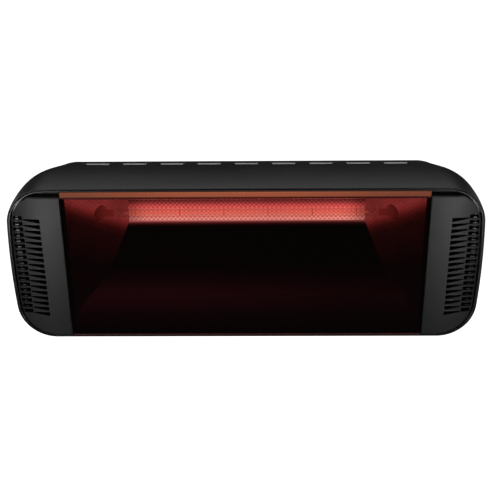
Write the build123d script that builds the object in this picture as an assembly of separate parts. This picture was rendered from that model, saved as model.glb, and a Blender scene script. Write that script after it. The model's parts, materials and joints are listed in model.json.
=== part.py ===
from build123d import *
import math
import os

# Wall-mounted halogen heater, millimetres.
# Frame: origin on the wall, at the centre of the wall plate's rear face.
# +Z up, +X to the right seen from the room, the heater looks along -Y.
# Depths t are measured rearwards from the housing's front rim plane.

# ---------------------------------------------------------------- driving dimensions
RIM_Y = -199.0          # front rim plane of the housing
HALF_W = 260.0          # housing outline at the rim
HALF_H = 90.5
CORNER_R = 42.0
SIDE_BOW_R = 850.0      # the two ends are slightly bowed
WALL = 1.5              # housing sheet
REAR_FILLET = 8.0
# depth, half width, half height of the housing's outer skin
SECTIONS = [
    (0.0, 260.0, 90.5),
    (20.0, 260.6, 91.8),
    (50.0, 259.3, 91.7),
    (80.0, 254.2, 87.6),
    (100.0, 248.9, 83.1),
    (116.0, 244.9, 79.7),
    (128.0, 242.0, 77.3),
]
SHELL_T = 128.0
REAR_A, REAR_B = 242.0, 77.3

SLOT_N, SLOT_PITCH, SLOT_L = 9, 43.5, 30.0
SLOT_T0, SLOT_T1, SLOT_R = 87.0, 104.0, 3.0

LIP_OUT, LIP_IN, LIP_T = 1.9, 3.4, -0.8
FLANGE_T, FLANGE_TH = 5.0, 1.5

GLASS_HW, GLASS_T, GLASS_TH = 197.5, -3.3, 4.0
GLASS_Z0, GLASS_Z1 = -84.8, 80.3       # glass plate, bottom and top
TRIM_Z0, TRIM_Z1 = -86.8, 86.9         # strips that close the plate above and below
SEAL_TOP, SEAL_BOTTOM, SEAL_SIDE = 79.4, -83.9, 195.9
WIN_HW, WIN_TOP, WIN_BOTTOM = 194.5, 80.5, -84.0

PANEL_X0, PANEL_INSET, PANEL_TOP, PANEL_TH = 198.0, 4.8, 82.0, 2.2
FIN_N, FIN_PITCH, FIN_Z0 = 18, 6.69, 58.0
PEGS = [(206.0, 70.0), (236.0, 68.0), (206.0, -74.0), (236.0, -68.0)]
PEG_R = 2.0
BEZEL_SCREWS = [(220.0, 75.5), (220.0, -75.5)]

LAMP_T, LAMP_Z = 52.0, 42.0
LAMP_R, LAMP_HALF, FILAMENT_HALF = 5.0, 160.0, 139.0
SHEET = 0.8
TROUGH = [(6.5, 85.0), (6.5, 81.0), (40.0, 76.0), (80.0, 64.0), (92.0, 50.0),
          (92.0, 15.0), (56.0, -38.0), (12.0, -61.0), (6.5, -84.0), (6.5, -86.4)]
SPLIT = 5                              # the upper reflector ends and the lower baffle starts here
END_X0, END_X1, END_T1 = 195.6, 138.9, 92.8
ENDPLAN = [(201.0, 6.5), (END_X0, 6.5), (END_X1, END_T1)]
SHIELD = [(10.0, 85.3), (62.0, 85.3), (80.0, 83.6), (114.0, 76.4), (106.0, 72.0), (106.0, 10.0),
          (66.0, -52.0), (17.0, -74.0), (14.5, -87.0)]
SHIELD_HW, SHIELD_TH = 194.0, 0.6
HOLDER_X, CAP_END = 174.0, 184.0

GASKET_TH, COVER_TH = 0.8, 1.5
COVER_T = SHELL_T + GASKET_TH          # inner face of the rear cover
COVER_OUT = COVER_T + COVER_TH
COVER_SCREWS = [(x, z) for x in (-165, -55, 55, 165) for z in (-63.3, 63.3)] + [(-228, 0), (228, 0)]

PIVOT_Y, PIVOT_Z = -52.0, 0.0
BOLT_R = 3.95                          # M8 shank
EAR_X0, EAR_X1, EAR_R = 92.5, 95.0, 14.0
LEG_X0, LEG_X1 = 88.4, 90.9
PLATE_TH, PLATE_HH = 2.5, 32.0
LOCK_R, LOCK_REST = 22.0, -17.5        # lock screw radius about the pivot, angle at rest
TILT_MIN, TILT_MAX = -10.0, 45.0
WALL_SLOT_X, WALL_SLOT_Z, WALL_SLOT_R, WALL_SLOT_L = 140.0, 40.0, 3.5, 12.0

GLAND_X, GLAND_Z = 150.0, -25.0
BLOCK = (77.0, 113.0, -54.0, -32.0)    # terminal block x0, x1, z0, z1
BLOCK_T = 112.0
EARTH_X, EARTH_Z = 120.0, 8.0
WIRE_R = 1.5

os.makedirs("parts", exist_ok=True)
NODES = {}


# ---------------------------------------------------------------- helpers
def yy(t):
    return RIM_Y + t


def outline(a, b, t, inset=0.0):
    """Closed outline of the housing at depth t, drawn in by inset."""
    y = yy(t)
    cx, cz = a - SIDE_BOW_R, b - CORNER_R
    ax = cx + math.sqrt((SIDE_BOW_R - CORNER_R) ** 2 - cz ** 2)
    ux, uz = (ax - cx) / (SIDE_BOW_R - CORNER_R), cz / (SIDE_BOW_R - CORNER_R)
    big, small, h = SIDE_BOW_R - inset, CORNER_R - inset, b - inset
    tx, tz = cx + big * ux, big * uz
    am = (math.atan2(uz, ux) + math.pi / 2) / 2
    mx, mz = ax + small * math.cos(am), cz + small * math.sin(am)

    def p(x, z):
        return Vector(x, y, z)

    return Wire([
        Edge.make_line(p(-ax, h), p(ax, h)),
        Edge.make_three_point_arc(p(ax, h), p(mx, mz), p(tx, tz)),
        Edge.make_three_point_arc(p(tx, tz), p(a - inset, 0), p(tx, -tz)),
        Edge.make_three_point_arc(p(tx, -tz), p(mx, -mz), p(ax, -h)),
        Edge.make_line(p(ax, -h), p(-ax, -h)),
        Edge.make_three_point_arc(p(-ax, -h), p(-mx, -mz), p(-tx, -tz)),
        Edge.make_three_point_arc(p(-tx, -tz), p(-a + inset, 0), p(-tx, tz)),
        Edge.make_three_point_arc(p(-tx, tz), p(-mx, mz), p(-ax, h)),
    ])


def slab(a, b, inset, t0, t1):
    """Prism of the outline between two depths."""
    return Solid.extrude(Face(outline(a, b, t0, inset)), Vector(0, t1 - t0, 0))


def block(x0, x1, t0, t1, z0, z1):
    return Pos((x0 + x1) / 2, yy((t0 + t1) / 2), (z0 + z1) / 2) * Box(abs(x1 - x0), abs(t1 - t0), abs(z1 - z0))


def rod_y(x, z, r, t0, t1):
    """Cylinder along Y between two depths."""
    return Pos(x, yy((t0 + t1) / 2), z) * Rot(90, 0, 0) * Cylinder(r, abs(t1 - t0))


def rod_x(x0, x1, r, y, z):
    return Pos((x0 + x1) / 2, y, z) * Rot(0, 90, 0) * Cylinder(r, abs(x1 - x0))


def hex_y(x, z, af, t0, t1):
    s = Plane(origin=(x, yy(min(t0, t1)), z), x_dir=(1, 0, 0), z_dir=(0, 1, 0)) * RegularPolygon(af / 2, 6, major_radius=False)
    return extrude(s, amount=abs(t1 - t0))


def hex_x(x0, x1, af, y, z):
    s = Plane(origin=(min(x0, x1), y, z), x_dir=(0, 1, 0), z_dir=(1, 0, 0)) * RegularPolygon(af / 2, 6, major_radius=False)
    return extrude(s, amount=abs(x1 - x0))


def pan_screw(x, z, r, head_r, head_t0, head_t1, end_t):
    """Domed head from head_t0 (bearing face) to head_t1, shank to end_t."""
    head = rod_y(x, z, head_r, head_t0, head_t1)
    rim = [e for e in head.edges() if abs(e.center().Y - yy(head_t1)) < 0.01 and e.geom_type == GeomType.CIRCLE]
    head = fillet(rim, min(0.9, abs(head_t1 - head_t0) * 0.45))
    drive = rod_y(x, z, head_r * 0.36, head_t1, head_t1 + (head_t0 - head_t1) * 0.55)
    return (head - drive) + rod_y(x, z, r, head_t0, end_t)


def offset_line(points, th):
    """Mitred copy of a polyline, th to its left."""
    out = []
    n = len(points)
    for i, (px, py) in enumerate(points):
        dirs = []
        if i > 0:
            dirs.append((px - points[i - 1][0], py - points[i - 1][1]))
        if i < n - 1:
            dirs.append((points[i + 1][0] - px, points[i + 1][1] - py))
        norms = []
        for dx, dy in dirs:
            k = math.hypot(dx, dy)
            norms.append((-dy / k, dx / k))
        if len(norms) == 1:
            nx, ny = norms[0]
            s = th
        else:
            nx, ny = norms[0][0] + norms[1][0], norms[0][1] + norms[1][1]
            k = math.hypot(nx, ny)
            nx, ny = nx / k, ny / k
            s = th / (nx * norms[0][0] + ny * norms[0][1])
        out.append((px + nx * s, py + ny * s))
    return out


def poly_tz(points, x0, x1):
    """Polygon given in (depth, height), extruded between two x."""
    f = Face(Wire.make_polygon([Vector(x0, yy(t), z) for t, z in points], close=True))
    return Solid.extrude(f, Vector(x1 - x0, 0, 0))


def poly_xt(points, z0, z1):
    """Polygon given in (x, depth), extruded between two heights."""
    f = Face(Wire.make_polygon([Vector(x, yy(t), z0) for x, t in points], close=True))
    return Solid.extrude(f, Vector(0, 0, z1 - z0))


def wire_tube(points, r, radius):
    """Round lead along straight runs (x, depth, height) joined by arcs."""
    pts = [Vector(x, yy(t), z) for x, t, z in points]
    line = FilletPolyline(*pts, radius=radius)
    start = Plane(origin=pts[0], z_dir=(pts[1] - pts[0]))
    return sweep(start * Circle(r), path=line)


def put(name, *shapes):
    """Register one node made of one or more separate solids."""
    solids = []
    for s in shapes:
        solids.extend(s.solids())
    NODES[name] = solids


def mirror_x(s):
    return mirror(s, about=Plane.YZ)


# ---------------------------------------------------------------- housing shell
outer = Solid.make_loft([outline(a, b, t) for t, a, b in SECTIONS])
rear_edges = [e for e in outer.edges() if abs(e.center().Y - yy(SHELL_T)) < 0.01]
outer = fillet(rear_edges, REAR_FILLET)
cavity_sections = [(-2.0, 259.95, 90.4)] + SECTIONS[:-1] + [(SHELL_T - WALL, 242.36, 77.6)]
cavity = Solid.make_loft([outline(a, b, t, WALL) for t, a, b in cavity_sections])
inner_rear = [e for e in cavity.edges() if abs(e.center().Y - yy(SHELL_T - WALL)) < 0.01]
cavity = fillet(inner_rear, REAR_FILLET - WALL)
shell = outer - cavity
shell -= slab(REAR_A, REAR_B, 20.0, SHELL_T - 6, SHELL_T + 3)
slot = Plane.XY.offset(0) * RectangleRounded(SLOT_L, SLOT_T1 - SLOT_T0, SLOT_R)
slot_mid = yy((SLOT_T0 + SLOT_T1) / 2)
slot_tools = []
for i in range(SLOT_N):
    x = (i - (SLOT_N - 1) / 2) * SLOT_PITCH
    tool = extrude(slot, amount=30)
    slot_tools.append(Pos(x, slot_mid, 68) * tool)
    slot_tools.append(Pos(x, slot_mid, -98) * tool)
for x, z in COVER_SCREWS:
    slot_tools.append(rod_y(x, z, 2.05, SHELL_T - 4, SHELL_T + 1))
shell = shell - slot_tools
front_edges = [e for e in shell.edges() if abs(e.center().Y - yy(0)) < 0.01 and e.bounding_box().size.Y < 0.01]
try:
    shell = fillet(front_edges, 0.55)
except Exception as error:
    print("front rim left square", error)
put("housing_shell", shell)

# ---------------------------------------------------------------- rear cover and gasket
cover = slab(REAR_A, REAR_B, 9.0, COVER_T, COVER_OUT)
LUG_SCREWS = [(s * 74.0, z) for s in (-1, 1) for z in (-18.0, 18.0)]
cover_cuts = [rod_y(x, z, 2.05, COVER_T - 1, COVER_OUT + 1) for x, z in COVER_SCREWS]
cover_cuts += [rod_y(x, z, 2.55, COVER_T - 1, COVER_OUT + 1) for x, z in LUG_SCREWS]
cover_cuts += [rod_y(GLAND_X, GLAND_Z, 10.05, COVER_T - 1, COVER_OUT + 1)]
cover_cuts += [rod_y(EARTH_X, EARTH_Z, 2.05, COVER_T - 1, COVER_OUT + 1)]
BLOCK_SCREWS = [(BLOCK[0] + 12.0, -43.0), (BLOCK[1] - 12.0, -43.0)]
cover_cuts += [rod_y(x, z, 1.55, COVER_T - 1, COVER_OUT + 1) for x, z in BLOCK_SCREWS]
cover = cover - cover_cuts
put("rear_cover", cover)
gasket = slab(REAR_A, REAR_B, 9.5, SHELL_T, COVER_T) - slab(REAR_A, REAR_B, 19.5, SHELL_T - 1, COVER_T + 1)
gasket = gasket - [rod_y(x, z, 2.05, SHELL_T - 1, COVER_T + 1) for x, z in COVER_SCREWS]
put("rear_cover_gasket", gasket)
put("rear_cover_screws", *[pan_screw(x, z, 1.95, 3.6, COVER_OUT, COVER_OUT + 2.3, 121.0) for x, z in COVER_SCREWS])

# ---------------------------------------------------------------- front bezel
ring = slab(HALF_W, HALF_H, LIP_OUT, LIP_T, FLANGE_T + FLANGE_TH) - slab(HALF_W, HALF_H, LIP_IN, LIP_T - 1, FLANGE_T)
lip_edges = [e for e in ring.edges() if abs(e.center().Y - yy(LIP_T)) < 0.01 and e.bounding_box().size.Y < 0.01]
ring = fillet(lip_edges, 0.6)
bezel_cuts = [block(-WIN_HW, WIN_HW, 0, 10, WIN_BOTTOM, WIN_TOP)]
for s in (-1, 1):
    vent = Pos(s * 228.5, yy(0), 0) * Rot(90, 0, 0) * RectangleRounded(37, 120, 6)
    bezel_cuts.append(extrude(vent, amount=12, dir=(0, 1, 0)))
    bezel_cuts += [rod_y(s * x, z, PEG_R + 0.15, 0, 10) for x, z in PEGS]
    bezel_cuts += [rod_y(s * x, z, 2.05, 0, 10) for x, z in BEZEL_SCREWS]
RIVETS = [(x, 83.4) for x in (-150, -50, 50, 150)]
bezel_cuts += [rod_y(x, z, 1.0, 0, 10) for x, z in RIVETS]
bezel = ring - bezel_cuts
put("front_bezel", bezel)
bezel_brackets, bezel_screws = [], []
for s in (-1, 1):
    for x, z in BEZEL_SCREWS:
        k = 1 if z > 0 else -1
        leg = block(s * 213, s * 227, 6.5, 8.0, k * 68, k * 93) + block(s * 213, s * 227, 6.5, 22.0, k * 87.6, k * 93)
        leg = leg & cavity
        bezel_brackets.append(leg - rod_y(s * x, z, 2.0, 5, 10))
        bezel_screws.append(pan_screw(s * x, z, 1.95, 3.5, FLANGE_T, FLANGE_T - 2.1, 12.0))
put("bezel_brackets", *bezel_brackets)
put("bezel_screws", *bezel_screws)

# ---------------------------------------------------------------- glass and its silicone bond
glass = block(-GLASS_HW, GLASS_HW, GLASS_T, GLASS_T + GLASS_TH, GLASS_Z0, GLASS_Z1)
glass = fillet([e for e in glass.edges() if abs(e.center().Y - yy(GLASS_T)) < 0.01], 0.5)
put("front_glass", glass)
for name, z0, z1 in (("glass_trim_top", GLASS_Z1 + 0.2, TRIM_Z1), ("glass_trim_bottom", TRIM_Z0, GLASS_Z0 - 0.2)):
    trim = block(-GLASS_HW, GLASS_HW, GLASS_T, GLASS_T + GLASS_TH, z0, z1)
    trim = fillet([e for e in trim.edges() if abs(e.center().Y - yy(GLASS_T)) < 0.01], 0.45)
    put(name, trim)
seal = block(-197.3, 197.3, GLASS_T + GLASS_TH, FLANGE_T, -86.6, 86.6)
seal -= block(-SEAL_SIDE, SEAL_SIDE, -1, 8, SEAL_BOTTOM, SEAL_TOP)
put("glass_seal", seal)

# ---------------------------------------------------------------- louvred side panels


def panel_body(x0, inset, top, drop, t_back):
    y = [yy(v) for v in (t_back, -4.0 + drop, -2.6 + drop, 1.6 + drop)]
    z0 = -90.0
    w = Wire([
        Edge.make_line(Vector(x0, y[0], z0), Vector(x0, y[1], z0)),
        Edge.make_three_point_arc(Vector(x0, y[1], z0), Vector(230, y[2], z0), Vector(262, y[3], z0)),
        Edge.make_line(Vector(262, y[3], z0), Vector(262, y[0], z0)),
        Edge.make_line(Vector(262, y[0], z0), Vector(x0, y[0], z0)),
    ])
    solid = Solid.extrude(Face(w), Vector(0, 0, top - z0))
    return solid & slab(HALF_W, HALF_H, inset, -12, 12)


panel = panel_body(PANEL_X0, PANEL_INSET, PANEL_TOP, 0.0, FLANGE_T)
rim_edges = [e for e in panel.edges() if all(v.Y < yy(FLANGE_T) - 0.1 for v in e.vertices())]
panel = fillet(rim_edges, 1.1)
panel -= panel_body(PANEL_X0 + PANEL_TH, PANEL_INSET + PANEL_TH, PANEL_TOP - PANEL_TH, PANEL_TH, FLANGE_T + 1)
cuts = []
for i in range(FIN_N):
    z = FIN_Z0 - FIN_PITCH * i
    f = Face(Wire.make_polygon([Vector(239.9, yy(-8), z - 1.0), Vector(222.0, yy(-8), z - 1.0),
                                Vector(222.0, yy(-8), z - 6.0), Vector(239.9, yy(-8), z - 2.6)], close=True))
    cuts.append(Solid.extrude(f, Vector(0, 16, 0)))
strip = [block(240.9, 262, -8, 8, FIN_Z0 - FIN_PITCH * i - 2.35, FIN_Z0 - FIN_PITCH * i + 2.35) for i in range(FIN_N)]
limit = slab(HALF_W, HALF_H, PANEL_INSET + 1.7, -9, 9)
cuts += [b & limit for b in strip]
panel = panel - cuts
for x, z in PEGS:
    panel += rod_y(x, z, PEG_R, -2.2 if x < 220 else -0.9, 9.0)
put("side_panel_right", panel)
put("side_panel_left", mirror_x(panel))
put("panel_clips", *[rod_y(s * x, z, 4.4, 6.5, 7.3) - rod_y(s * x, z, PEG_R, 6, 8) for s in (-1, 1) for x, z in PEGS])

# ---------------------------------------------------------------- reflector
trough_out = offset_line(TROUGH, SHEET)
slope = (END_X0 - END_X1) / (END_T1 - 6.5)
plan = [(END_X0, 6.5), (END_X1 - 3.2 * slope, END_T1 + 3.2)]
plan_poly = plan + [(-x, t) for x, t in plan[::-1]]
plan_solid = poly_xt(plan_poly, -95, 95)
upper = poly_tz(TROUGH[:SPLIT + 1] + trough_out[:SPLIT + 1][::-1], -205, 205) & plan_solid
upper = upper - [rod_y(x, z, 1.0, 5, 9) for x, z in RIVETS]
put("reflector_trough", upper)
put("lower_baffle", poly_tz(TROUGH[SPLIT:] + trough_out[SPLIT:][::-1], -205, 205) & plan_solid)
side_region = [(6.5, 81.6)] + [p for p in trough_out[2:8]] + [(7.3, -84.2), (6.5, -84.2)]
region = poly_tz(side_region, -206, 206)
ends = []
for s in (1, -1):
    path = [(x, t) for x, t in ENDPLAN]
    other = offset_line(path[::-1], SHEET)[::-1]
    plate = poly_xt([(s * x, t) for x, t in path] + [(s * x, t) for x, t in other[::-1]], -95, 95)
    plate = plate & region
    plate = plate - rod_x(s * 120, s * 200, 8.5, yy(LAMP_T), LAMP_Z)
    ends.append(plate)
put("reflector_end_right", ends[0])
put("reflector_end_left", ends[1])
put("reflector_rivets", *[rod_y(x, z, 0.95, 5.0, 7.3) + rod_y(x, z, 1.5, 7.3, 8.1) for x, z in RIVETS])

# ---------------------------------------------------------------- aluminised heat shield
shield = poly_tz(SHIELD + offset_line(SHIELD, SHIELD_TH)[::-1], -SHIELD_HW, SHIELD_HW)
HOLDER_SCREWS = [(s * 184.0, z) for s in (-1, 1) for z in (36.0, 50.0)]
SPACERS = [(-110.0, 66.0), (110.0, 66.0)]
shield = shield - [rod_y(x, z, 2.05, 100, 110) for x, z in HOLDER_SCREWS + SPACERS]
put("heat_shield", shield)
put("shield_spacers", *[hex_y(x, z, 8.0, 106.6, 126.5) - rod_y(x, z, 2.05, 106, 119) for x, z in SPACERS])
put("shield_screws", *[pan_screw(x, z, 1.95, 3.5, 106.0, 103.8, 117.0) for x, z in SPACERS])

# ---------------------------------------------------------------- halogen lamp and its holders
LY = yy(LAMP_T)
put("lamp_tube", rod_x(-LAMP_HALF, LAMP_HALF, LAMP_R, LY, LAMP_Z) - rod_x(-LAMP_HALF - 1, LAMP_HALF + 1, LAMP_R - 1, LY, LAMP_Z))
put("lamp_filament", rod_x(-FILAMENT_HALF, FILAMENT_HALF, 1.3, LY, LAMP_Z))
SUPPORT_X = [-125.0, -75.0, -25.0, 25.0, 75.0, 125.0]
put("filament_supports", *[rod_x(x - 0.3, x + 0.3, 3.95, LY, LAMP_Z) - rod_x(x - 1, x + 1, 1.3, LY, LAMP_Z) for x in SUPPORT_X])
for s, side in ((1, "right"), (-1, "left")):
    cap = rod_x(s * 160, s * CAP_END, 7.0, LY, LAMP_Z) + rod_x(s * 160, s * 162.5, 7.9, LY, LAMP_Z)
    cap = cap + rod_x(s * 150, s * 160, 3.9, LY, LAMP_Z)
    put("lamp_cap_" + side, cap)
    hold = block(s * HOLDER_X, s * (HOLDER_X + 1.2), 43.5, 106.0, 29, 57) + block(s * HOLDER_X, s * 192, 104.8, 106.0, 29, 57)
    hold = hold - rod_x(s * 160, s * 180, 7.05, LY, LAMP_Z)
    hold = hold - [rod_y(s * 184.0, z, 2.05, 100, 110) for z in (36.0, 50.0)]
    put("lamp_holder_" + side, hold)
put("lamp_holder_screws", *[pan_screw(x, z, 1.95, 3.5, 104.8, 102.6, 112.0) for x, z in HOLDER_SCREWS])
put("lamp_holder_nuts", *[hex_y(x, z, 7.0, 106.6, 109.8) - rod_y(x, z, 2.0, 106, 110.5) for x, z in HOLDER_SCREWS])

# ---------------------------------------------------------------- wiring
LIVE = [(CAP_END, 52.0, 42.0), (201.0, 52.0, 42.0), (201.0, 117.0, 42.0), (201.0, 117.0, -40.0), (113.0, 117.0, -40.0)]
NEUTRAL = [(-CAP_END, 52.0, 42.0), (-201.0, 52.0, 42.0), (-201.0, 117.0, 42.0), (-201.0, 117.0, -46.0), (77.0, 117.0, -46.0)]
EARTH = [(107.0, 120.0, -32.0), (107.0, 120.0, -17.0), (120.0, 120.0, -8.0), (120.0, 120.0, 3.0)]
put("live_lead", wire_tube(LIVE, WIRE_R, 12.0))
put("neutral_lead", wire_tube(NEUTRAL, WIRE_R, 12.0))
put("earth_lead", wire_tube(EARTH, WIRE_R, 6.0))
for n, pts in (("live_lead", LIVE), ("neutral_lead", NEUTRAL)):
    v = sum(s.volume for s in NODES[n])
    run = sum(math.dist(pts[i], pts[i + 1]) for i in range(len(pts) - 1)) - 3 * 12.0 * (2 - math.pi / 2)
    print(n, "volume", round(v), "section times length", round(run * math.pi * WIRE_R ** 2), "bend radius 12")
ring_terminal = rod_y(EARTH_X, EARTH_Z, 5.0, 119.5, 120.5) - rod_y(EARTH_X, EARTH_Z, 2.1, 119, 121)
ring_terminal = ring_terminal - block(EARTH_X - 3, EARTH_X + 3, 119, 121, EARTH_Z - 6, EARTH_Z - 4.99)
put("earth_ring_terminal", ring_terminal)
put("earth_screw", pan_screw(EARTH_X, EARTH_Z, 1.95, 3.6, COVER_OUT, COVER_OUT + 2.3, 114.0))
put("earth_nuts", *[hex_y(EARTH_X, EARTH_Z, 7.0, a, a + 3.2) - rod_y(EARTH_X, EARTH_Z, 2.0, a - 1, a + 5)
                    for a in (120.5, 116.3, COVER_T - 3.2)])
term = block(BLOCK[0], BLOCK[1], BLOCK_T, COVER_T, BLOCK[2], BLOCK[3])
term = fillet(term.edges().filter_by(Axis.Y), 1.2)
TERM_SCREWS = [(x, z) for x in (83.0, 95.0, 107.0) for z in (-36.5, -49.5)]
term = term - [rod_y(x, z, 2.6, BLOCK_T - 1, BLOCK_T + 3.5) for x, z in TERM_SCREWS]
term = term - [rod_y(x, z, 1.55, BLOCK_T - 1, COVER_T + 1) for x, z in BLOCK_SCREWS]
put("terminal_block", term)
put("terminal_clamp_screws", *[rod_y(x, z, 2.4, BLOCK_T + 1.2, BLOCK_T + 3.5) - block(x - 2.0, x + 2.0, BLOCK_T + 1, BLOCK_T + 2, z - 0.3, z + 0.3)
                               for x, z in TERM_SCREWS])
put("terminal_block_screws", *[pan_screw(x, z, 1.5, 2.6, COVER_OUT, COVER_OUT + 1.6, 115.0) for x, z in BLOCK_SCREWS])

# ---------------------------------------------------------------- cable gland
body = rod_y(GLAND_X, GLAND_Z, 10.0, 119.0, COVER_OUT) + hex_y(GLAND_X, GLAND_Z, 24.0, COVER_OUT, COVER_OUT + 5)
body = body + rod_y(GLAND_X, GLAND_Z, 9.0, COVER_OUT + 5, COVER_OUT + 13)
body = body - rod_y(GLAND_X, GLAND_Z, 6.5, 110, COVER_OUT + 20)
put("gland_body", body)
put("gland_locknut", hex_y(GLAND_X, GLAND_Z, 24.0, COVER_T - 4.0, COVER_T) - rod_y(GLAND_X, GLAND_Z, 10.02, 120, 135))
cap = hex_y(GLAND_X, GLAND_Z, 22.0, COVER_OUT + 5.6, COVER_OUT + 14) + rod_y(GLAND_X, GLAND_Z, 10.6, COVER_OUT + 14, COVER_OUT + 20)
cap_rim = [e for e in cap.edges() if abs(e.center().Y - yy(COVER_OUT + 20)) < 0.01 and e.geom_type == GeomType.CIRCLE]
cap = fillet(cap_rim, 4.0)
cap = cap - rod_y(GLAND_X, GLAND_Z, 9.05, COVER_OUT + 5, COVER_OUT + 15)
cap = cap - rod_y(GLAND_X, GLAND_Z, 6.6, COVER_OUT + 5, COVER_OUT + 25)
put("gland_cap", cap)
put("gland_seal", rod_y(GLAND_X, GLAND_Z, 6.45, COVER_OUT + 4, COVER_OUT + 18) - rod_y(GLAND_X, GLAND_Z, 4.0, COVER_OUT, COVER_OUT + 25))

# ---------------------------------------------------------------- tilt lugs on the rear cover
lock_y = PIVOT_Y + LOCK_R * math.cos(math.radians(LOCK_REST))
lock_z = PIVOT_Z + LOCK_R * math.sin(math.radians(LOCK_REST))
yz = Plane(origin=(0, 0, 0), x_dir=(0, 1, 0), z_dir=(1, 0, 0))
foot_y0, foot_y1 = yy(COVER_OUT), yy(COVER_OUT) + 2.5
leg_sketch = Sketch() + Pos(PIVOT_Y, PIVOT_Z) * Circle(13.0) + Pos(lock_y, lock_z) * Circle(8.0) \
    + Pos((foot_y0 + foot_y1) / 2, 0) * Rectangle(foot_y1 - foot_y0, 52)
leg_face = make_hull(leg_sketch.edges())
leg = Pos(LEG_X0, 0, 0) * extrude(yz * leg_face, amount=LEG_X1 - LEG_X0, dir=(1, 0, 0))
lug = leg + block(64.0, LEG_X1, COVER_OUT, COVER_OUT + 2.5, -26, 26)
lug = lug - [rod_x(80, 95, BOLT_R + 0.08, PIVOT_Y, PIVOT_Z), rod_x(80, 95, 2.5, lock_y, lock_z)]
lug = lug - [rod_y(74.0, z, 2.55, COVER_T, COVER_OUT + 5) for z in (-18.0, 18.0)]
put("tilt_lug_right", lug)
put("tilt_lug_left", mirror_x(lug))
put("lug_screws", *[pan_screw(x, z, 2.45, 4.6, COVER_OUT + 2.5, COVER_OUT + 5.7, 121.0) for x, z in LUG_SCREWS])
put("lug_nuts", *[hex_y(x, z, 8.0, COVER_T - 4.2, COVER_T) - rod_y(x, z, 2.5, 120, 135) for x, z in LUG_SCREWS])

# ---------------------------------------------------------------- wall bracket
ear_sketch = Sketch() + Pos(PIVOT_Y, PIVOT_Z) * Circle(EAR_R) + Pos(-PLATE_TH / 2, 0) * Rectangle(PLATE_TH, 2 * PLATE_HH)
ear_face = make_hull(ear_sketch.edges())
arc = CenterArc((PIVOT_Y, PIVOT_Z), LOCK_R, LOCK_REST + TILT_MIN, TILT_MAX - TILT_MIN)
ear_face = ear_face - SlotArc(arc, 5.6) - Pos(PIVOT_Y, PIVOT_Z) * Circle(BOLT_R + 0.05)
ear = Pos(EAR_X0, 0, 0) * extrude(yz * ear_face, amount=EAR_X1 - EAR_X0, dir=(1, 0, 0))
plate = Pos(0, -PLATE_TH / 2, 0) * Box(2 * EAR_X1, PLATE_TH, 2 * PLATE_HH)
bracket = plate + ear + mirror_x(ear)
bends = [e for e in bracket.edges() if e.bounding_box().size.Z > 50 and abs(e.center().Y + PLATE_TH) < 0.01 and abs(abs(e.center().X) - EAR_X0) < 0.01]
bracket = fillet(bends, 2.5)
bends = [e for e in bracket.edges() if e.bounding_box().size.Z > 50 and abs(e.center().Y) < 0.01 and abs(abs(e.center().X) - EAR_X1) < 0.01]
bracket = fillet(bends, 2.2)
for sx in (-1, 1):
    for sz in (-1, 1):
        s = Plane(origin=(sx * WALL_SLOT_X / 2, -PLATE_TH - 1, sz * WALL_SLOT_Z / 2), x_dir=(1, 0, 0), z_dir=(0, 1, 0)) \
            * SlotOverall(WALL_SLOT_L, 2 * WALL_SLOT_R)
        bracket = bracket - extrude(s, amount=PLATE_TH + 2)
put("wall_bracket", bracket)

# ---------------------------------------------------------------- pivot and lock fasteners
bolts, nuts, outer_w, inner_w, friction, lock_s, lock_w, lock_n = [], [], [], [], [], [], [], []
for s in (1, -1):
    shank = rod_x(s * 76.5, s * 96.6, BOLT_R, PIVOT_Y, PIVOT_Z)
    bolts.append(shank + hex_x(s * 96.6, s * 101.9, 13.0, PIVOT_Y, PIVOT_Z))
    outer_w.append(rod_x(s * 95.0, s * 96.6, 8.0, PIVOT_Y, PIVOT_Z) - rod_x(s * 94, s * 98, BOLT_R, PIVOT_Y, PIVOT_Z))
    friction.append(rod_x(s * 91.2, s * 92.5, 8.5, PIVOT_Y, PIVOT_Z) - rod_x(s * 90, s * 94, BOLT_R, PIVOT_Y, PIVOT_Z))
    inner_w.append(rod_x(s * 86.5, s * 88.1, 8.0, PIVOT_Y, PIVOT_Z) - rod_x(s * 85, s * 89, BOLT_R, PIVOT_Y, PIVOT_Z))
    nuts.append(hex_x(s * 78.5, s * 86.5, 13.0, PIVOT_Y, PIVOT_Z) - rod_x(s * 77, s * 88, BOLT_R, PIVOT_Y, PIVOT_Z))
    lock_s.append(rod_x(s * 83.0, s * 96.5, 2.45, lock_y, lock_z) + hex_x(s * 96.5, s * 100.0, 8.0, lock_y, lock_z))
    lock_w.append(rod_x(s * 95.3, s * 96.5, 6.0, lock_y, lock_z) - rod_x(s * 94, s * 98, 2.45, lock_y, lock_z))
    lock_n.append(hex_x(s * 84.4, s * 88.4, 8.0, lock_y, lock_z) - rod_x(s * 83, s * 89, 2.45, lock_y, lock_z))
put("pivot_bolts", *bolts)
put("pivot_nuts", *nuts)
put("pivot_outer_washers", *outer_w)
put("pivot_inner_washers", *inner_w)
put("friction_washers", *friction)
put("lock_screws", *lock_s)
put("lock_washers", *lock_w)
put("lock_weld_nuts", *lock_n)

# ---------------------------------------------------------------- write one file per node
for name in os.listdir("parts"):
    if name.endswith(".step") and name[:-5] not in NODES:
        os.remove(os.path.join("parts", name))
for name, solids in NODES.items():
    shape = solids[0] if len(solids) == 1 else Compound(children=solids)
    shape.label = name
    export_step(shape, "parts/" + name + ".step")
print(len(NODES), "nodes,", sum(len(s) for s in NODES.values()), "solids")
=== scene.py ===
import json
import math

import bpy
from mathutils import Matrix, Vector


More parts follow.
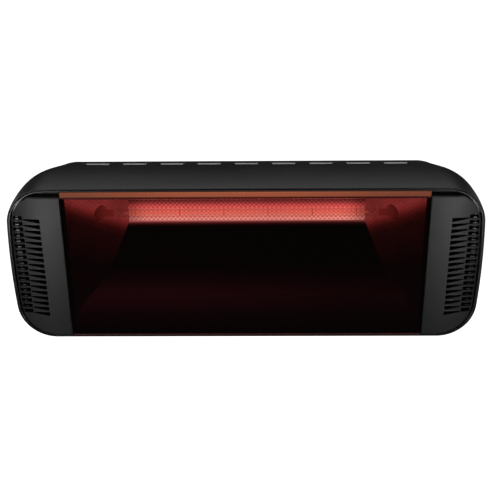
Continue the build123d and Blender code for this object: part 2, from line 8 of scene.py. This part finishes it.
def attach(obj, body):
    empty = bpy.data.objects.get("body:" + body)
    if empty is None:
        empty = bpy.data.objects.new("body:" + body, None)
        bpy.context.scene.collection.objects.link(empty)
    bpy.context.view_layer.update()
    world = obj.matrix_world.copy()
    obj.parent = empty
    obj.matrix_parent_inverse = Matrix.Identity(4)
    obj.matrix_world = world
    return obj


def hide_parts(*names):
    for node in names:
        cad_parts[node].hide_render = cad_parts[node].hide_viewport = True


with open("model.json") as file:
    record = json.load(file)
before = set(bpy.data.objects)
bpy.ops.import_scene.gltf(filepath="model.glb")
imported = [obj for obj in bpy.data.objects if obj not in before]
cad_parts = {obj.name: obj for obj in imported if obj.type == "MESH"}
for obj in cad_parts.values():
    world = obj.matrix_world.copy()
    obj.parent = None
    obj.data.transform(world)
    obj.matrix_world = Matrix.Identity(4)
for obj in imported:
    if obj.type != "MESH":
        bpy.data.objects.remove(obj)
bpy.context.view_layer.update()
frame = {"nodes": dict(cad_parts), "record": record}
NODES = frame["nodes"]
RIM_Y = -0.199


# ---------------------------------------------------------------- node helpers
class Tree:
    """A material's node tree with one Principled shader."""

    def __init__(self, name):
        self.mat = bpy.data.materials.new(name)
        self.mat.use_nodes = True
        self.nt = self.mat.node_tree
        self.nt.nodes.clear()
        self.out = self.nt.nodes.new("ShaderNodeOutputMaterial")
        self.p = self.nt.nodes.new("ShaderNodeBsdfPrincipled")
        self.nt.links.new(self.p.outputs[0], self.out.inputs[0])
        self.co = self.nt.nodes.new("ShaderNodeTexCoord").outputs["Object"]
        self.xyz = None

    def new(self, kind, **props):
        n = self.nt.nodes.new(kind)
        for k, v in props.items():
            setattr(n, k, v)
        return n

    def link(self, a, b):
        self.nt.links.new(a, b)

    def put(self, socket, value):
        if hasattr(value, "is_output"):
            self.link(value, socket)
        else:
            socket.default_value = value

    def scaled(self, sx, sy, sz):
        n = self.new("ShaderNodeVectorMath", operation="MULTIPLY")
        self.link(self.co, n.inputs[0])
        n.inputs[1].default_value = (sx, sy, sz)
        return n.outputs[0]

    def axes(self):
        if self.xyz is None:
            n = self.new("ShaderNodeSeparateXYZ")
            self.link(self.co, n.inputs[0])
            self.xyz = n.outputs
        return self.xyz

    def noise(self, scale, detail=3.0, rough=0.5, vector=None):
        n = self.new("ShaderNodeTexNoise")
        self.link(vector or self.co, n.inputs["Vector"])
        n.inputs["Scale"].default_value = scale
        n.inputs["Detail"].default_value = detail
        n.inputs["Roughness"].default_value = rough
        return n.outputs["Fac"]

    def cells(self, scale, feature="F1", vector=None, out="Distance"):
        n = self.new("ShaderNodeTexVoronoi", feature=feature)
        self.link(vector or self.co, n.inputs["Vector"])
        n.inputs["Scale"].default_value = scale
        return n.outputs[out]

    def math(self, op, a, b=0.0, clamp=False):
        n = self.new("ShaderNodeMath", operation=op, use_clamp=clamp)
        self.put(n.inputs[0], a)
        self.put(n.inputs[1], b)
        return n.outputs[0]

    def remap(self, v, a0, a1, b0, b1, smooth=False):
        n = self.new("ShaderNodeMapRange", interpolation_type="SMOOTHSTEP" if smooth else "LINEAR")
        self.put(n.inputs["Value"], v)
        for k, x in (("From Min", a0), ("From Max", a1), ("To Min", b0), ("To Max", b1)):
            n.inputs[k].default_value = x
        return n.outputs[0]

    def mix(self, fac, a, b, blend="MIX"):
        n = self.new("ShaderNodeMix", data_type="RGBA", blend_type=blend)
        self.put(n.inputs[0], fac)
        self.put(n.inputs[6], a if hasattr(a, "is_output") else (*a, 1.0))
        self.put(n.inputs[7], b if hasattr(b, "is_output") else (*b, 1.0))
        return n.outputs[2]

    def ramp(self, fac, stops):
        n = self.new("ShaderNodeValToRGB")
        el = n.color_ramp.elements
        while len(el) > 1:
            el.remove(el[0])
        for i, (pos, col) in enumerate(stops):
            e = el[0] if i == 0 else el.new(pos)
            e.position, e.color = pos, (*col, 1.0)
        self.link(fac, n.inputs[0])
        return n.outputs[0]

    def bump(self, height, distance, strength=1.0, normal=None):
        n = self.new("ShaderNodeBump")
        n.inputs["Strength"].default_value = strength
        n.inputs["Distance"].default_value = distance
        self.link(height, n.inputs["Height"])
        if normal is not None:
            self.link(normal, n.inputs["Normal"])
        return n.outputs[0]

    def set(self, **kw):
        for k, v in kw.items():
            self.put(self.p.inputs[k.replace("_", " ")], v)

    def lets_lamps_through(self, tint):
        clear = self.new("ShaderNodeBsdfTransparent")
        clear.inputs[0].default_value = (*tint, 1.0)
        path = self.new("ShaderNodeLightPath")
        m = self.new("ShaderNodeMixShader")
        self.link(path.outputs["Is Shadow Ray"], m.inputs[0])
        self.link(self.p.outputs[0], m.inputs[1])
        self.link(clear.outputs[0], m.inputs[2])
        self.link(m.outputs[0], self.out.inputs[0])


def coated(name, dark, light, rough, spread, grain, depth, spec=0.5, smudge=9.0):
    """Painted or moulded black: fine grain over a slow change of sheen."""
    t = Tree(name)
    slow = t.noise(smudge, 4.0, 0.6)
    fine = t.noise(grain, 2.0, 0.55)
    t.set(Base_Color=t.mix(t.remap(t.math("ADD", slow, fine), 0.7, 1.3, 0.0, 1.0), dark, light))
    t.set(Roughness=t.remap(t.math("ADD", t.math("MULTIPLY", slow, 0.7), t.math("MULTIPLY", fine, 0.3)), 0.3, 0.7, rough - spread, rough + spread))
    t.p.inputs["Specular IOR Level"].default_value = spec
    t.set(Normal=t.bump(fine, depth, 0.6))
    return t


def metal(name, a, b, rough, spread, stretch=(1, 1, 1), scale=900.0, depth=0.00001, blotch=60.0):
    t = Tree(name)
    lines = t.noise(scale, 3.0, 0.6, t.scaled(*stretch))
    spot = t.cells(blotch * 8, out="Color")
    bw = t.new("ShaderNodeRGBToBW")
    t.link(spot, bw.inputs[0])
    slow = t.noise(blotch, 3.0)
    t.set(Base_Color=t.mix(t.math("ADD", t.math("MULTIPLY", bw.outputs[0], 0.35), t.math("MULTIPLY", slow, 0.65)), a, b), Metallic=1.0)
    t.set(Roughness=t.remap(t.math("ADD", t.math("MULTIPLY", lines, 0.6), t.math("MULTIPLY", slow, 0.4)), 0.3, 0.7, rough - spread, rough + spread))
    t.set(Normal=t.bump(lines, depth, 0.5))
    return t


# ---------------------------------------------------------------- finishes
M = {}
t = coated("powder_coat", (0.010, 0.010, 0.011), (0.017, 0.017, 0.018), 0.30, 0.04, 1500.0, 0.00005)
peel = t.cells(650.0, "SMOOTH_F1")
t.set(Normal=t.bump(peel, 0.00004, 0.35, t.bump(t.noise(1500.0, 2.0), 0.00004, 0.5)))
x, y, z = t.axes()
column = t.math("ABSOLUTE", t.math("SUBTRACT", t.math("ABSOLUTE", t.math("WRAP", x, 0.02175)), 0.0))
wrap = column.node.inputs[0].links[0].from_node.inputs[0].links[0].from_node.inputs[0].links[0].from_node
wrap.inputs[2].default_value = -0.02175
edge = t.math("COMPARE", y, RIM_Y + 0.1041)
edge.node.inputs[2].default_value = 0.00035
cut = t.math("MULTIPLY", t.math("MULTIPLY", edge, t.math("LESS_THAN", column, 0.0149)), t.math("LESS_THAN", t.math("ABSOLUTE", x), 0.190))
bare = t.mix(t.noise(700.0), (0.80, 0.80, 0.81), (0.92, 0.92, 0.92))
t.set(Base_Color=t.mix(cut, t.p.inputs["Base Color"].links[0].from_socket, bare))
M["shell_black"] = t
M["steel_black"] = coated("powder_coat_bracket", (0.012, 0.012, 0.013), (0.021, 0.021, 0.022), 0.43, 0.07, 1200.0, 0.00007, smudge=14.0)
M["panel_black"] = coated("moulded_panel", (0.014, 0.014, 0.015), (0.021, 0.021, 0.022), 0.33, 0.04, 2600.0, 0.00003, smudge=11.0)
M["bezel"] = coated("bezel_gloss", (0.016, 0.016, 0.017), (0.026, 0.026, 0.027), 0.21, 0.03, 2100.0, 0.00002, spec=0.8)
M["gland_black"] = coated("nylon", (0.016, 0.016, 0.017), (0.028, 0.028, 0.029), 0.46, 0.06, 1900.0, 0.00006, smudge=70.0)
M["gasket_black"] = coated("silicone_sheet", (0.020, 0.020, 0.020), (0.034, 0.034, 0.034), 0.66, 0.08, 1500.0, 0.00008, spec=0.35, smudge=50.0)
M["baffle_black"] = coated("stove_enamel", (0.0015, 0.0012, 0.0012), (0.003, 0.0022, 0.0022), 0.34, 0.05, 900.0, 0.00003, spec=0.02)
M["silicone_brick"] = coated("silicone_dark", (0.010, 0.0030, 0.0022), (0.016, 0.0048, 0.0034), 0.62, 0.08, 1100.0, 0.00008, spec=0.1, smudge=40.0)
M["fibre"] = coated("fibre_washer", (0.055, 0.036, 0.022), (0.125, 0.085, 0.055), 0.72, 0.10, 1400.0, 0.00010, spec=0.3, smudge=260.0)
M["steatite"] = coated("steatite", (0.60, 0.55, 0.46), (0.74, 0.70, 0.62), 0.62, 0.10, 1300.0, 0.00007, spec=0.4, smudge=110.0)
# painted light: a darker, shaded copy of steatite with the lamp's red glow painted on as emission, fading towards the
# outer ends of the caps
t = coated("steatite_lit", (0.24, 0.21, 0.17), (0.30, 0.27, 0.22), 0.62, 0.10, 1300.0, 0.00007, spec=0.2, smudge=110.0)
x, y, z = t.axes()
t.set(Emission_Color=t.mix(t.noise(90.0), (0.155, 0.080, 0.075), (0.125, 0.062, 0.058)), Emission_Strength=t.remap(t.math("ABSOLUTE", x), 0.150, 0.176, 1.0, 0.25, True))
M["steatite_lit"] = t
M["zinc"] = metal("zinc_plate", (0.50, 0.50, 0.49), (0.68, 0.68, 0.66), 0.34, 0.08, blotch=90.0)
M["stainless"] = metal("brushed_stainless", (0.50, 0.50, 0.51), (0.62, 0.62, 0.63), 0.30, 0.07, (0.05, 1, 1), 1500.0, 0.00001)
M["brass"] = metal("brass", (0.52, 0.36, 0.13), (0.70, 0.52, 0.24), 0.30, 0.09, blotch=120.0)
M["liner"] = metal("aluminised_sheet", (0.74, 0.74, 0.75), (0.86, 0.86, 0.86), 0.52, 0.07, (1, 0.05, 1), 800.0, 0.00002, 45.0)
M["liner"].set(Metallic=0.25)


def wire(name, a, b, stripe=None):
    t = Tree(name)
    x, y, z = t.axes()
    u = t.math("ADD", t.math("ADD", x, y), z)
    v = t.math("SUBTRACT", t.math("ADD", x, y), z)
    braid = t.math("MULTIPLY", t.math("SINE", t.math("MULTIPLY", u, 9000.0)), t.math("SINE", t.math("MULTIPLY", v, 9000.0)))
    col = t.mix(t.remap(braid, -1.0, 1.0, 0.0, 1.0), a, b)
    if stripe:
        col = t.mix(t.remap(t.math("SINE", t.math("MULTIPLY", v, 1100.0)), 0.1, 0.25, 0.0, 1.0), col, stripe)
    t.set(Base_Color=col, Roughness=t.remap(t.noise(600.0), 0.3, 0.7, 0.5, 0.72), Normal=t.bump(braid, 0.00008, 0.6))
    return t


M["wire_brown"] = wire("braid_brown", (0.085, 0.032, 0.014), (0.15, 0.062, 0.028))
M["wire_blue"] = wire("braid_blue", (0.02, 0.06, 0.24), (0.045, 0.11, 0.40))
M["wire_earth"] = wire("earth_lead", (0.52, 0.50, 0.03), (0.66, 0.62, 0.06), (0.03, 0.22, 0.04))

# glass front
GLASS_TINT = (0.82, 0.15, 0.13)
t = Tree("red_glass")
t.set(Base_Color=t.mix(t.noise(7.0, 2.0), GLASS_TINT, (0.80, 0.14, 0.12)), Roughness=t.remap(t.noise(24.0, 4.0, 0.6), 0.3, 0.7, 0.012, 0.035))
t.p.inputs["Transmission Weight"].default_value = 1.0
t.p.inputs["IOR"].default_value = 1.47
t.p.inputs["Specular IOR Level"].default_value = 0.22
t.set(Normal=t.bump(t.noise(5.0, 1.0), 0.0002, 0.05))
t.lets_lamps_through((0.22, 0.012, 0.010))
M["glass_red"] = t

t = Tree("quartz")
t.set(Base_Color=t.mix(t.noise(60.0, 2.0), (0.97, 0.95, 0.93), (0.93, 0.90, 0.88)), Roughness=t.remap(t.noise(180.0, 3.0), 0.3, 0.7, 0.01, 0.05))
t.p.inputs["Transmission Weight"].default_value = 1.0
t.p.inputs["IOR"].default_value = 1.02
t.lets_lamps_through((0.95, 0.93, 0.91))
M["quartz"] = t

# lacquered strips; the top strip carries a painted glow, brightest at the centre, and painted shade along its lower
# edge
t = coated("bronze_strip", (0.30, 0.090, 0.042), (0.36, 0.112, 0.054), 0.40, 0.06, 1700.0, 0.00003, spec=0.2, smudge=18.0)
x, y, z = t.axes()
# painted shade: base colour and glow darker along the strip's lower edge
low = t.remap(z, 0.0816, 0.0832, 1.0, 0.0, True)
t.set(Base_Color=t.mix(low, t.p.inputs["Base Color"].links[0].from_socket, (0.10, 0.010, 0.006)))
# painted glow: emission brightest at the centre of the strip, fading towards its ends
side = t.remap(t.math("ABSOLUTE", t.math("ADD", x, 0.010)), 0.03, 0.20, 1.0, 0.36, True)
t.set(Emission_Color=t.mix(low, (0.36, 0.084, 0.040), (0.05, 0.004, 0.002)), Emission_Strength=t.math("MULTIPLY", side, 0.62))
M["trim_bronze"] = t
# painted shade: a darker copy of the bronze strip for the lower trim
M["trim_bronze_painted_shade"] = coated("bronze_strip_painted_shade", (0.10, 0.020, 0.018), (0.14, 0.028, 0.026), 0.36, 0.06, 1700.0, 0.00003, smudge=18.0)


# ---------------------------------------------------------------- reflector, with the lamp's light on it painted on as emission
def dots(t, a, b, pitch):
    """Raised dimples in offset rows over two coordinates."""
    k = math.pi / pitch
    s1 = t.math("SINE", t.math("MULTIPLY", a, k))
    s2 = t.math("SINE", t.math("MULTIPLY", b, k))
    return t.math("MULTIPLY", s1, s2)


def shiny(name, low, high):
    t = Tree(name)
    t.set(Base_Color=t.mix(t.noise(18.0, 2.0), low, high), Metallic=1.0, Roughness=t.remap(t.noise(40.0, 2.0), 0.3, 0.7, 0.30, 0.36))
    return t


def tinted(c):
    return tuple(v / g / 2.0 for v, g in zip(c, GLASS_TINT))


t = shiny("reflector_back", (0.30, 0.30, 0.31), (0.36, 0.36, 0.37))
x, y, z = t.axes()
LOW, HIGH = 0.010, 0.085
# painted lamp glow: emission colour by height on the reflector back, a bright band at the lamp fading up and down,
# painted shade towards the ends, varied by the dimples
PAINTED_GLOW_BAND = [(0.0150, (0.60, 0.18, 0.15)), (0.0175, (0.78, 0.235, 0.195)), (0.0220, (0.78, 0.185, 0.145)), (0.0270, (0.76, 0.140, 0.115)),
        (0.0330, (0.64, 0.080, 0.072)), (0.0355, (0.470, 0.056, 0.052)), (0.0380, (0.230, 0.032, 0.030)),
        (0.0420, (0.080, 0.008, 0.0078)), (0.0500, (0.035, 0.004, 0.004)), (0.0640, (0.050, 0.006, 0.006)), (0.0760, (0.020, 0.002, 0.002))]
painted_lamp_glow = t.ramp(t.remap(z, LOW, HIGH, 0.0, 1.0), [((h - LOW) / (HIGH - LOW), tinted(c)) for h, c in PAINTED_GLOW_BAND])
pattern = dots(t, x, z, 0.0026)
painted_end_falloff = t.remap(t.math("ABSOLUTE", x), 0.114, 0.141, 1.0, 0.48, True)
painted_glow_drift = t.remap(t.noise(1.0, 1.0, 0.5, t.scaled(14.0, 0.0, 0.0)), 0.3, 0.7, 0.90, 1.08)
painted_glow_gain = t.math("MULTIPLY", t.math("MULTIPLY", painted_end_falloff, painted_glow_drift), t.remap(pattern, -1.0, 1.0, 0.50, 1.46))
t.set(Emission_Color=painted_lamp_glow, Emission_Strength=t.math("MULTIPLY", painted_glow_gain, 2.0), Normal=t.bump(pattern, 0.0003, 0.7))
M["reflector_back"] = t

t = shiny("reflector_cheek", (0.045, 0.045, 0.046), (0.060, 0.060, 0.062))
x, y, z = t.axes()
# painted lamp light: emission on the cheeks, brightest just below a sloping line near the lamp and fading downwards
line = t.math("ADD", t.math("MULTIPLY", t.math("SUBTRACT", y, RIM_Y + 0.052), -0.72), 0.042)
below = t.math("SUBTRACT", line, z)
painted_cheek_glow = t.ramp(t.remap(below, -0.012, 0.088, 0.0, 1.0), [(0.0, tinted((0.150, 0.016, 0.015))), (0.07, tinted((0.185, 0.022, 0.021))), (0.13, tinted((0.155, 0.015, 0.014))),
                                                     (0.19, tinted((0.075, 0.0060, 0.0056))), (0.25, tinted((0.026, 0.0022, 0.0020))), (0.34, tinted((0.0095, 0.0008, 0.0008))),
                                                     (0.55, tinted((0.0060, 0.0005, 0.0006))), (0.80, tinted((0.0016, 0.0003, 0.0003)))])
pattern = dots(t, y, z, 0.0026)
painted_cheek_glow_streaks = t.remap(t.noise(1.0, 2.0, 0.5, t.scaled(0.0, 45.0, 30.0)), 0.3, 0.7, 0.82, 1.18)
t.set(Emission_Color=painted_cheek_glow, Emission_Strength=t.math("MULTIPLY", t.math("MULTIPLY", painted_cheek_glow_streaks, t.remap(pattern, -1.0, 1.0, 0.82, 1.15)), 2.0), Normal=t.bump(pattern, 0.0003, 0.7))
M["reflector"] = t

t = M["baffle_black"]
x, y, z = t.axes()
# painted glow: emission by height on the black baffle, strongest at its top edge near the lamp with a faint band lower
# down, weaker towards +x
PAINTED_BAFFLE_GLOW_STOPS = [(-0.085, (0.0006, 0.0001, 0.0002)), (-0.066, (0.0028, 0.0004, 0.0009)), (-0.051, (0.0100, 0.0011, 0.0021)), (-0.040, (0.0030, 0.0003, 0.0007)),
       (-0.030, (0.0004, 0.0001, 0.0001)), (0.009, (0.0003, 0.0001, 0.0001)), (0.011, (0.0070, 0.0008, 0.0008)), (0.013, (0.070, 0.0080, 0.0080)),
       (0.0148, (0.36, 0.075, 0.070))]
painted_baffle_glow = t.ramp(t.remap(z, -0.085, 0.016, 0.0, 1.0), [((h + 0.085) / 0.101, tinted(c)) for h, c in PAINTED_BAFFLE_GLOW_STOPS])
painted_glow_falloff_x = t.remap(x, -0.12, 0.17, 1.0, 0.45, True)
t.set(Emission_Color=painted_baffle_glow, Emission_Strength=t.math("MULTIPLY", painted_glow_falloff_x, 2.0))

t = Tree("tungsten_hot")
t.set(Base_Color=t.mix(t.noise(900.0), (0.24, 0.20, 0.18), (0.40, 0.35, 0.32)), Metallic=1.0, Roughness=t.remap(t.noise(1500.0), 0.3, 0.7, 0.35, 0.5))
t.set(Emission_Color=t.mix(t.noise(70.0), (1.0, 0.80, 0.62), (1.0, 0.88, 0.74)), Emission_Strength=t.math("MULTIPLY", t.remap(t.math("ABSOLUTE", t.axes()[0]), 0.105, 0.139, 1.0, 0.35, True), t.remap(t.noise(30.0), 0.3, 0.7, 0.78, 0.95)))
M["tungsten_hot"] = t
t = Tree("tungsten_warm")
t.set(Base_Color=t.mix(t.noise(900.0), (0.24, 0.20, 0.18), (0.40, 0.35, 0.32)), Metallic=1.0, Roughness=t.remap(t.noise(1500.0), 0.3, 0.7, 0.35, 0.5))
t.set(Emission_Color=t.mix(t.noise(70.0), (1.0, 0.42, 0.28), (1.0, 0.52, 0.38)), Emission_Strength=t.remap(t.noise(30.0), 0.3, 0.7, 0.36, 0.46))
M["tungsten"] = t

# ---------------------------------------------------------------- dress the CAD nodes
OWN = {"front_bezel": "bezel", "reflector_trough": "reflector_back", "glass_trim_bottom": "trim_bronze_painted_shade",
       "lamp_cap_left": "steatite_lit", "lamp_cap_right": "steatite_lit"}
for part in frame["record"]["subparts"]:
    o = NODES.get(part["node"])
    if o is None or o.type != "MESH":
        continue
    mat = M[OWN.get(part["node"], part["material_slot"])].mat
    o.data.materials.clear()
    o.data.materials.append(mat)
    for f in o.data.polygons:
        f.use_smooth = True
    o.data.set_sharp_from_angle(angle=math.radians(32))

# ---------------------------------------------------------------- coiled filament
R, WIRE, PITCH, HALF = 0.00105, 0.00024, 0.00115, 0.139
turns = int(2 * HALF / PITCH)
SEG, RING = 14, 6
verts, faces = [], []
steps = turns * SEG
for i in range(steps + 1):
    a = 2 * math.pi * i / SEG
    cx = -HALF + 2 * HALF * i / steps
    tang = Vector((PITCH, -2 * math.pi * R * math.sin(a), 2 * math.pi * R * math.cos(a))).normalized()
    rad = Vector((0, math.cos(a), math.sin(a)))
    side_v = tang.cross(rad)
    c = Vector((cx, RIM_Y + 0.052, 0.042)) + rad * R
    for k in range(RING):
        b = 2 * math.pi * k / RING
        verts.append(c + (rad * math.cos(b) + side_v * math.sin(b)) * WIRE)
for i in range(steps):
    for k in range(RING):
        q, w = i * RING + k, i * RING + (k + 1) % RING
        faces.append((q, w, w + RING, q + RING))
faces.append(tuple(range(RING))[::-1])
faces.append(tuple(steps * RING + k for k in range(RING)))
me = bpy.data.meshes.new("filament_coil")
me.from_pydata([tuple(v) for v in verts], [], faces)
me.update()
coil = bpy.data.objects.new("filament_coil", me)
bpy.context.scene.collection.objects.link(coil)
for f in me.polygons:
    f.use_smooth = True
me.materials.append(M["tungsten_hot"].mat)
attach(coil, "heater")
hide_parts("lamp_filament")

# ---------------------------------------------------------------- floor, world, lights
me = bpy.data.meshes.new("floor")
S = 30.0
me.from_pydata([(-S, -S, -1.6), (S, -S, -1.6), (S, S, -1.6), (-S, S, -1.6)], [], [(0, 1, 2, 3)])
floor = bpy.data.objects.new("floor", me)
bpy.context.scene.collection.objects.link(floor)
t = Tree("pale_floor")
t.set(Base_Color=t.mix(t.noise(2.0, 4.0), (0.86, 0.86, 0.86), (0.90, 0.90, 0.90)), Roughness=t.remap(t.noise(9.0), 0.3, 0.7, 0.75, 0.9))
t.set(Emission_Color=(1.0, 1.0, 1.0, 1.0))
t.p.inputs["Emission Strength"].default_value = 1.0
me.materials.append(t.mat)
floor.visible_glossy = False
floor.visible_diffuse = False
floor.visible_transmission = False

world = bpy.data.worlds.new("studio")
bpy.context.scene.world = world
world.use_nodes = True
nt = world.node_tree
nt.nodes.clear()
wo = nt.nodes.new("ShaderNodeOutputWorld")
seen = nt.nodes.new("ShaderNodeBackground")
seen.inputs[0].default_value = (1, 1, 1, 1)
lit = nt.nodes.new("ShaderNodeBackground")
co = nt.nodes.new("ShaderNodeTexCoord")
sep = nt.nodes.new("ShaderNodeSeparateXYZ")
nt.links.new(co.outputs["Generated"], sep.inputs[0])
gr = nt.nodes.new("ShaderNodeValToRGB")
el = gr.color_ramp.elements
el[0].position, el[0].color = 0.0, (0.040, 0.040, 0.040, 1)
el[1].position, el[1].color = 1.0, (0.34, 0.34, 0.34, 1)
for pos, v in ((0.48, 0.010), (0.60, 0.016), (0.78, 0.12)):
    e = el.new(pos)
    e.color = (v, v, v, 1)
mr = nt.nodes.new("ShaderNodeMapRange")
mr.inputs["From Min"].default_value = -1.0
mr.inputs["From Max"].default_value = 1.0
nt.links.new(sep.outputs["Z"], mr.inputs["Value"])
nt.links.new(mr.outputs[0], gr.inputs[0])
nt.links.new(gr.outputs[0], lit.inputs[0])
lp = nt.nodes.new("ShaderNodeLightPath")
mx = nt.nodes.new("ShaderNodeMixShader")
nt.links.new(lp.outputs["Is Camera Ray"], mx.inputs[0])
nt.links.new(lit.outputs[0], mx.inputs[1])
nt.links.new(seen.outputs[0], mx.inputs[2])
nt.links.new(mx.outputs[0], wo.inputs[0])


def softbox(name, place, aim, w, h, radiance):
    d = bpy.data.lights.new(name, "AREA")
    d.shape, d.size, d.size_y = "RECTANGLE", w, h
    d.energy = radiance * math.pi * w * h
    o = bpy.data.objects.new(name, d)
    bpy.context.scene.collection.objects.link(o)
    o.location = place
    o.rotation_mode = "QUATERNION"
    o.rotation_quaternion = (Vector(aim) - Vector(place)).to_track_quat("-Z", "Y")
    o.visible_camera = False
    return o


softbox("back_top", (0.0, 2.3, 2.05), (0, -0.15, 0.05), 3.4, 0.9, 0.56)
softbox("overhead", (0.0, -0.9, 2.2), (0, -0.15, 0.0), 2.6, 1.0, 0.7)
softbox("zenith", (0.0, 0.35, 2.6), (0, -0.1, 0.0), 2.4, 0.9, 1.3)
skip_glass = bpy.data.collections.new("panel_lamps_skip")
skip_glass.objects.link(NODES["front_glass"])
skip_glass.collection_objects[0].light_linking.link_state = "EXCLUDE"
lamps = []
for s in (-1, 1):
    softbox("rear_fill", (s * 2.3, 1.5, 0.25), (0, -0.08, 0), 0.9, 1.3, 2.4)
    lamps.append(softbox("low_front", (s * 0.605, -1.30, -0.30), (s * 0.215, -0.2, 0), 0.12, 0.34, 11.0))
    lamps.append(softbox("side", (s * 1.55, -0.85, 0.10), (s * 0.25, -0.2, 0), 0.4, 0.9, 1.7))
for lamp in lamps:
    lamp.light_linking.receiver_collection = skip_glass

# ---------------------------------------------------------------- camera
th, ps, ro = math.radians(25.0), math.radians(-0.90017), math.radians(-0.56960)
fw = Vector((math.sin(ps) * math.cos(th), math.cos(ps) * math.cos(th), -math.sin(th)))
rt = Vector((math.cos(ps), -math.sin(ps), 0))
up = rt.cross(fw)
r2 = rt * math.cos(ro) + up * math.sin(ro)
u2 = up * math.cos(ro) - rt * math.sin(ro)
cam = bpy.data.objects.new("camera", bpy.data.cameras.new("camera"))
bpy.context.scene.collection.objects.link(cam)
m = Matrix((r2, u2, -fw)).transposed().to_4x4()
m.translation = Vector((0.019063, -1.102339, 0.439832))
cam.matrix_world = m
cam.data.sensor_width, cam.data.lens = 36.0, 65.58
cam.data.clip_start, cam.data.clip_end = 0.01, 100.0
bpy.context.scene.camera = cam
bpy.context.scene.view_settings.view_transform = "Standard"

bpy.context.view_layer.update()
